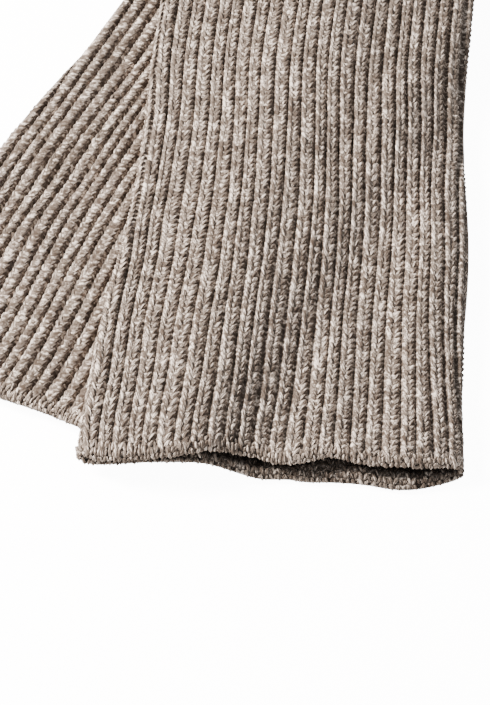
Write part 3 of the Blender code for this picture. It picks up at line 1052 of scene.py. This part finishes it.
def blended(rows, steps):
    """Sums of neighbouring rows, weighted by the blend, with a spread of 1."""
    summed = sum(weight * rows[shift : shift + steps] for shift, weight in enumerate(YARN_BLEND))
    return summed / np.sqrt((np.array(YARN_BLEND) ** 2).sum())


def marl_along_yarn(rib, along, side, chance):
    """How pale each leg is, 0 to 1: tones change slowly along a course and a rib, and from leg to leg."""
    course = np.round(along / COURSE).astype(int)
    step = np.round(rib * 2 + (side > 0)).astype(int)
    course -= course.min()
    step -= step.min()
    courses, steps, more = course.max() + 1, step.max() + 1, len(YARN_BLEND)
    along_yarn = blended(chance.standard_normal((courses, steps + more)).T, steps).T
    along_rib = blended(chance.standard_normal((courses + more - 1, steps)), courses)
    varied = TONE_ALONG_YARN * along_yarn[course, step] + TONE_ALONG_RIB * along_rib[course, step]
    return MIDDLE_TONE + (varied + TONE_OF_LEG * chance.standard_normal(len(rib)))


def take(legs, chosen):
    return Legs(*(np.asarray(values)[chosen] for values in legs))


def shows(tube, along, rib):
    """Whether a place on the outside is clear of the other warmer lying on it."""
    if tube.lower:
        return np.ones(len(along), dtype=bool)
    across, _ = tube.over_top(along, rib, 0.0)
    return OVER.distance_outside(*tube.place(along, across)) > -HIDDEN_MARGIN


def mouth_shadow(tube, rib, round_edge):
    """Painted shadow on the lower layer's inside: none near its lit edge, and black further in under the
    upper layer.
    """
    share = (rib * tube.rib_spacing(0.0) - QUARTER - tube.flat_half(0.0)) / tube.half_width(0.0)
    lit = through(column(tube.mouth, "across"), column(tube.mouth, "lit"), share)
    return MOUTH_DARK * ease((round_edge - lit + MOUTH_DARK_START) / MOUTH_DARK_RUN)


def hem_legs(tube, layer, far, settings, chance):
    """The legs of the stitches that go round the edge of one layer of one hem."""
    columns = np.arange(layer.first, layer.last + 0.1, 0.5)
    on_rib = columns % 1 == layer.on_rib
    rows = []
    for course in layer.courses:
        for chosen, sink in ((on_rib, course.rib_sink), (~on_rib, course.between_sink)):
            if sink is not None:
                rows += [(rib, course.round_edge, sink) for rib in columns[chosen]]
    rib, round_edge, sink = np.repeat(np.array(rows), 2, axis=0).T
    side = np.tile((-1.0, 1.0), len(rows))
    count = len(rib)
    v_along, v_rib, v_sink = np.repeat(chance.standard_normal((3, len(rows))), 2, axis=1)
    corner = ease((np.abs(rib - RIBS_ACROSS / 2) - RIBS_ACROSS / 2 + HEM_CORNER) / HEM_CORNER)
    loose = layer.loose * (1 - CORNER_HOLD * corner)

    def wander(amount):
        return amount * chance.standard_normal(count)

    def vary(size, amount):
        return size * (1 + amount * chance.standard_normal(count).clip(-2, 2))

    round_edge = round_edge + loose * (HEM_WANDER.v_along * v_along + wander(HEM_WANDER.along))
    return Legs(
        rib=rib + HEM_WANDER.v_rib * v_rib + wander(HEM_WANDER.rib),
        along=LENGTH - round_edge if far else round_edge,
        side=side,
        length=vary(settings.length * layer.length, HEM_WANDER.length),
        width=vary(settings.width * layer.width, HEM_WANDER.width),
        foot=layer.foot + wander(HEM_WANDER.foot),
        top=layer.top + wander(HEM_WANDER.top),
        sink=sink + loose * HEM_WANDER.v_sink * v_sink + CORNER_SINK * corner,
        turn=chance.random(count) * math.pi,
        tone=HEM_TONE + wander(HEM_WANDER.tone),
        # painted shade, more where the hem turns under at a corner
        shade=layer.shade + CORNER_SHADE * corner,
        underside=np.full(count, layer.underside),
        crisp=np.full(count, HEM_CRISP),
        furrow=np.full(count, HEM_FURROW),
    )


def lay_hem(tube, layer, far, grain, settings, chance):
    """Lays the stitches round the edge of one layer of one hem."""
    legs = hem_legs(tube, layer, far, settings, chance)

    def shadow(along, rib):
        return mouth_shadow(tube, rib, LENGTH - along if far else along)

    lay = round_hem(tube, layer, far)
    return lay_legs(lay, legs, grain, settings, chance, no_shadow if layer.upper else shadow)


# ---- materials -----------------------------------------------------------------------------------
class NodeBench:
    """Places nodes in a tree and joins them, with numbers or other nodes' outputs as inputs."""

    def __init__(self, tree):
        self.tree, self.column = tree, 0

    def node(self, kind, **values):
        made = self.tree.nodes.new(kind)
        made.location = (self.column * 190, -160 * (self.column % 3))
        self.column += 1
        for name, value in values.items():
            setattr(made, name, value)
        return made

    def join(self, value, socket):
        if isinstance(value, bpy.types.NodeSocket):
            self.tree.links.new(value, socket)
        else:
            socket.default_value = value

    def math(self, kind, *inputs):
        made = self.node("ShaderNodeMath", operation=kind)
        for value, socket in zip(inputs, made.inputs):
            self.join(value, socket)
        return made.outputs[0]

    def noise(self, vector, scale, detail):
        """Noise about 0, mostly from -0.5 to 0.5."""
        made = self.node("ShaderNodeTexNoise")
        made.inputs["Scale"].default_value = scale
        made.inputs["Detail"].default_value = detail
        self.join(vector, made.inputs["Vector"])
        return self.math("SUBTRACT", made.outputs["Fac"], 0.5)

    def scaled(self, vector, scale):
        made = self.node("ShaderNodeMapping")
        made.inputs["Scale"].default_value = scale
        self.join(vector, made.inputs["Vector"])
        return made.outputs[0]


def new_group(name, inputs, outputs):
    group = bpy.data.node_groups.new(name, "ShaderNodeTree")
    for label, kind in inputs:
        group.interface.new_socket(name=label, in_out="INPUT", socket_type="NodeSocket" + kind)
    for label, kind in outputs:
        group.interface.new_socket(name=label, in_out="OUTPUT", socket_type="NodeSocket" + kind)
    bench = NodeBench(group)
    return group, bench, bench.node("NodeGroupInput"), bench.node("NodeGroupOutput")


def marl_group(wool):
    """Marl colour and fibre height, from places on yarn and garment, a tone, a painted shade and crispness.
    """
    group, bench, given, result = new_group(
        "Marl wool",
        (("Yarn", "Vector"), ("Place", "Vector"), ("Tone", "Float"), ("Shade", "Float"), ("Crisp", "Float")),
        (("Color", "Color"), ("Height", "Float")),
    )
    streaks = bench.noise(bench.scaled(given.outputs["Yarn"], (1.3, 2.4, 1.0)), 1.0, 2.0)
    flecks = bench.noise(bench.scaled(given.outputs["Yarn"], (4.5, 5.5, 5.0)), 1.0, 2.0)
    flecks = bench.math("MULTIPLY", flecks, given.outputs["Crisp"])
    blotches = bench.noise(given.outputs["Place"], 260.0, 2.0)
    contrast = bench.math("MULTIPLY_ADD", given.outputs["Crisp"], 1.5, 1.9)
    pale = bench.math("MULTIPLY_ADD", streaks, contrast, given.outputs["Tone"])
    pale = bench.math("MULTIPLY_ADD", flecks, 2.2, pale)
    pale = bench.math("MULTIPLY_ADD", blotches, 0.8, pale)
    ramp = bench.node("ShaderNodeValToRGB")
    shades = ((0.0, wool.darkest), (0.30, wool.dark), (0.62, wool.light), (1.0, wool.lightest))
    for place, color in shades[1:-1]:
        ramp.color_ramp.elements.new(place)
    for element, (place, color) in zip(ramp.color_ramp.elements, shades):
        element.position = place
        element.color = (*color, 1)
    bench.join(pale, ramp.inputs["Fac"])
    # painted shade: the Shade input darkens the colour towards a dark brown
    deep = bench.node("ShaderNodeMix", data_type="RGBA", blend_type="MULTIPLY")
    deep.inputs["B"].default_value = (0.05, 0.037, 0.028, 1)
    bench.join(given.outputs["Shade"], deep.inputs["Factor"])
    bench.join(ramp.outputs["Color"], deep.inputs["A"])
    bench.join(deep.outputs["Result"], result.inputs["Color"])
    bench.join(bench.math("ADD", streaks, flecks), result.inputs["Height"])
    return group


def knit_group():
    """The ribs and Vs of the knitting where they aren't modelled, from counts of ribs and courses, with
    painted shade in their hollows.
    """
    outputs = (("Height", "Float"), ("Shade", "Float"))
    group, bench, given, result = new_group("Knit", (("Count", "Vector"),), outputs)
    split = bench.node("ShaderNodeSeparateXYZ")
    bench.join(given.outputs["Count"], split.inputs[0])
    within = bench.math("FRACT", split.outputs[0])
    off_middle = bench.math("MULTIPLY", bench.math("ABSOLUTE", bench.math("SUBTRACT", within, 0.5)), 2.0)
    rib = bench.math("SUBTRACT", 1.0, bench.math("POWER", off_middle, 3.0))
    slant = bench.math("SUBTRACT", split.outputs[1], bench.math("MULTIPLY", off_middle, 1.9))
    leg = bench.math("MULTIPLY_ADD", bench.math("SINE", bench.math("MULTIPLY", slant, 2 * math.pi)), 0.5, 0.5)
    height = bench.math("MULTIPLY", rib, bench.math("MULTIPLY_ADD", leg, 0.45, 0.55))
    bench.join(height, result.inputs["Height"])
    bench.join(bench.math("SUBTRACT", 1.0, height), result.inputs["Shade"])
    return group


def own_group(name, make):
    return bpy.data.node_groups.get(name) or make()


def wool_material(name, tone=None):
    """Matt wool. Stitches have their own yarn map and tones, and a wall has one tone and the rib count."""
    material = bpy.data.materials.new(name)
    material.use_nodes = True
    surface = material.node_tree.nodes["Principled BSDF"]
    surface.inputs["Roughness"].default_value = 0.95
    surface.inputs["Specular IOR Level"].default_value = 0.12
    surface.inputs["Sheen Weight"].default_value = 0.12
    surface.inputs["Sheen Roughness"].default_value = 0.5
    surface.inputs["Sheen Tint"].default_value = (0.9, 0.84, 0.78, 1)
    bench = NodeBench(material.node_tree)
    place = bench.node("ShaderNodeTexCoord").outputs["Object"]
    marl = bench.node("ShaderNodeGroup")
    marl.node_tree = own_group("Marl wool", lambda: marl_group(bpy.context.scene.warmer_wool))

    def attribute(name):
        return bench.node("ShaderNodeAttribute", attribute_name=name).outputs["Fac"]

    # painted shade, stored on the points
    shade = attribute("shade")
    bench.join(place, marl.inputs["Place"])
    bump = bench.node("ShaderNodeBump")
    bench.join(marl.outputs["Color"], surface.inputs["Base Color"])
    bench.join(bump.outputs["Normal"], surface.inputs["Normal"])
    if tone is None:
        bench.join(bench.node("ShaderNodeUVMap", uv_map="yarn").outputs["UV"], marl.inputs["Yarn"])
        bench.join(attribute("tone"), marl.inputs["Tone"])
        bench.join(shade, marl.inputs["Shade"])
        bench.join(attribute("crisp"), marl.inputs["Crisp"])
        bench.join(marl.outputs["Height"], bump.inputs["Height"])
        bump.inputs["Strength"].default_value = 0.7
        bump.inputs["Distance"].default_value = 0.0002
        return material
    knit = bench.node("ShaderNodeGroup")
    knit.node_tree = own_group("Knit", knit_group)
    bench.join(bench.node("ShaderNodeUVMap", uv_map="knit").outputs["UV"], knit.inputs["Count"])
    bench.join(bench.scaled(place, (400, 400, 400)), marl.inputs["Yarn"])
    marl.inputs["Tone"].default_value = tone
    marl.inputs["Crisp"].default_value = 0.6
    bare = attribute("bare")
    # painted shade: the knit pattern's where the wall is bare of stitches, and the stored painted shade
    pattern = bench.math("MULTIPLY", bench.math("MULTIPLY", knit.outputs["Shade"], 0.75), bare)
    bench.join(bench.math("MAXIMUM", shade, pattern), marl.inputs["Shade"])
    relief = bench.math("MULTIPLY", knit.outputs["Height"], bare)
    bench.join(bench.math("MULTIPLY_ADD", marl.outputs["Height"], 0.3, relief), bump.inputs["Height"])
    bump.inputs["Strength"].default_value = 0.8
    bump.inputs["Distance"].default_value = 0.0006
    return material


def finish_piece(piece, tube, material):
    piece.data.materials.append(material)
    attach(piece, "root")


# ---- operators -----------------------------------------------------------------------------------
class WARMERS_OT_add_stitches(bpy.types.Operator):
    """Adds the stitches along the ribs of each warmer"""

    bl_idname = "warmers.add_stitches"
    bl_label = "Add stitches"

    def execute(self, context):
        settings = context.scene.warmer_stitches
        chance = np.random.default_rng(SEED)
        material = wool_material("Wool stitches")
        for tube in TUBES:
            legs = rib_legs(tube, settings, chance)
            legs = take(legs, shows(tube, legs.along, legs.rib))
            for band in BANDS:
                grain = model_grain(band.sides, band.rings)
                chosen = take(legs, (legs.along >= band.start) & (legs.along < band.end))
                laid = lay_legs(on_ribs(tube), chosen, grain, settings, chance)
                piece = yarn_object(f"{tube.name}_stitches_{band.name}", grain, *laid, chance)
                finish_piece(piece, tube, material)
        return {"FINISHED"}


class WARMERS_OT_add_hems(bpy.types.Operator):
    """Adds the stitches round both hems of each warmer"""

    bl_idname = "warmers.add_hems"
    bl_label = "Add hems"

    def execute(self, context):
        settings = context.scene.warmer_stitches
        chance = np.random.default_rng(SEED + 1)
        material = wool_material("Wool hem stitches")
        for tube in TUBES:
            for end, far in (("near", False), ("far", True)):
                grain = model_grain(HEM_SIDES, FAR_HEM_RINGS if far else NEAR_HEM_RINGS)
                layers = (UPPER_HEM, LOWER_HEM)
                parts = [lay_hem(tube, layer, far, grain, settings, chance) for layer in layers]
                laid = [np.concatenate(arrays) for arrays in zip(*parts)]
                piece = yarn_object(f"{tube.name}_hem_{end}", grain, *laid, chance)
                finish_piece(piece, tube, material)
        return {"FINISHED"}


class WARMERS_OT_add_walls(bpy.types.Operator):
    """Adds the knitted wall of each warmer in place of its solid"""

    bl_idname = "warmers.add_walls"
    bl_label = "Add knitted walls"

    def execute(self, context):
        material = wool_material("Wool between stitches", tone=0.48)
        for tube in TUBES:
            wall = knitted_wall(tube)
            finish_piece(wall, tube, material)
            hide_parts(tube.name)
            names = (tube.name + "_stitches", tube.name + "_hem")
            yarn = [piece for piece in bpy.data.objects if piece.name.startswith(names)]
        return {"FINISHED"}


class WARMERS_OT_set_studio(bpy.types.Operator):
    """Adds the floor, the lights and the camera"""

    bl_idname = "warmers.set_studio"
    bl_label = "Set the studio"

    def execute(self, context):
        studio = context.scene.warmer_studio
        target = Vector(TARGET)
        add_floor()
        add_world(studio.sky)
        add_key_light(target, studio.key_power)
        back = Vector((0, -math.cos(studio.elevation), math.sin(studio.elevation)))
        camera = bpy.data.cameras.new("camera")
        camera.sensor_width = SENSOR
        camera.lens = camera.sensor_width / 2 / (studio.view_height / 2 / studio.distance)
        placed = bpy.data.objects.new("camera", camera)
        context.scene.collection.objects.link(placed)
        placed.location = target + back * studio.distance
        placed.rotation_euler = (-back).to_track_quat("-Z", "Y").to_euler()
        context.scene.camera = placed
        return {"FINISHED"}


def add_floor():
    """White paper, lit a little more than the lamps light it, as on a light table."""
    bpy.ops.object.select_all(action="DESELECT")
    bpy.ops.mesh.primitive_plane_add(size=FLOOR_SIZE, location=(0, 0, -FLOOR_DROP))
    floor = bpy.context.object
    floor.name = "floor"
    paper = bpy.data.materials.new("White paper")
    paper.use_nodes = True
    surface = paper.node_tree.nodes["Principled BSDF"]
    surface.inputs["Base Color"].default_value = PAPER
    surface.inputs["Roughness"].default_value = 1.0
    surface.inputs["Specular IOR Level"].default_value = 0.0
    surface.inputs["Emission Color"].default_value = (1, 1, 1, 1)
    bench = NodeBench(paper.node_tree)
    seen = bench.node("ShaderNodeLightPath").outputs["Is Camera Ray"]
    bench.join(bench.math("MULTIPLY", seen, PAPER_GLOW), surface.inputs["Emission Strength"])
    floor.data.materials.append(paper)


def add_world(strength):
    world = bpy.data.worlds.new("studio")
    world.use_nodes = True
    background = world.node_tree.nodes["Background"]
    background.inputs["Color"].default_value = (1, 1, 1, 1)
    background.inputs["Strength"].default_value = strength
    bpy.context.scene.world = world


def add_key_light(target, power):
    light = bpy.data.lights.new("key", "AREA")
    light.shape = "DISK"
    light.size = KEY_SIZE
    light.energy = power
    light.color = KEY_COLOR
    placed = bpy.data.objects.new("key", light)
    bpy.context.scene.collection.objects.link(placed)
    placed.location = target + Vector(KEY_FROM_TARGET)
    placed.rotation_euler = (target - placed.location).to_track_quat("-Z", "Y").to_euler()


class WARMERS_PT_panel(bpy.types.Panel):
    """Lists the warmers' operators and settings"""

    bl_label = "Arm warmers"
    bl_idname = "WARMERS_PT_panel"
    bl_space_type = "VIEW_3D"
    bl_region_type = "UI"
    bl_category = "Warmers"

    def draw(self, context):
        scene = context.scene
        for settings in (scene.warmer_stitches, scene.warmer_wool, scene.warmer_studio):
            for name in settings.bl_rna.properties.keys():
                if name not in ("rna_type", "name"):
                    self.layout.prop(settings, name)
        for operator in OPERATORS:
            self.layout.operator(operator.bl_idname)


OPERATORS = (WARMERS_OT_add_stitches, WARMERS_OT_add_hems, WARMERS_OT_add_walls, WARMERS_OT_set_studio)
CLASSES = (StitchSettings, WoolSettings, StudioSettings, *OPERATORS, WARMERS_PT_panel)


def register():
    for item in CLASSES:
        bpy.utils.register_class(item)
    bpy.types.Scene.warmer_stitches = PointerProperty(type=StitchSettings)
    bpy.types.Scene.warmer_wool = PointerProperty(type=WoolSettings)
    bpy.types.Scene.warmer_studio = PointerProperty(type=StudioSettings)


def unregister():
    del bpy.types.Scene.warmer_studio
    del bpy.types.Scene.warmer_wool
    del bpy.types.Scene.warmer_stitches
    for item in reversed(CLASSES):
        bpy.utils.unregister_class(item)


def main():
    register()
    bpy.ops.warmers.add_stitches()
    bpy.ops.warmers.add_hems()
    bpy.ops.warmers.add_walls()
    bpy.ops.warmers.set_studio()


if __name__ == "__main__":
    main()
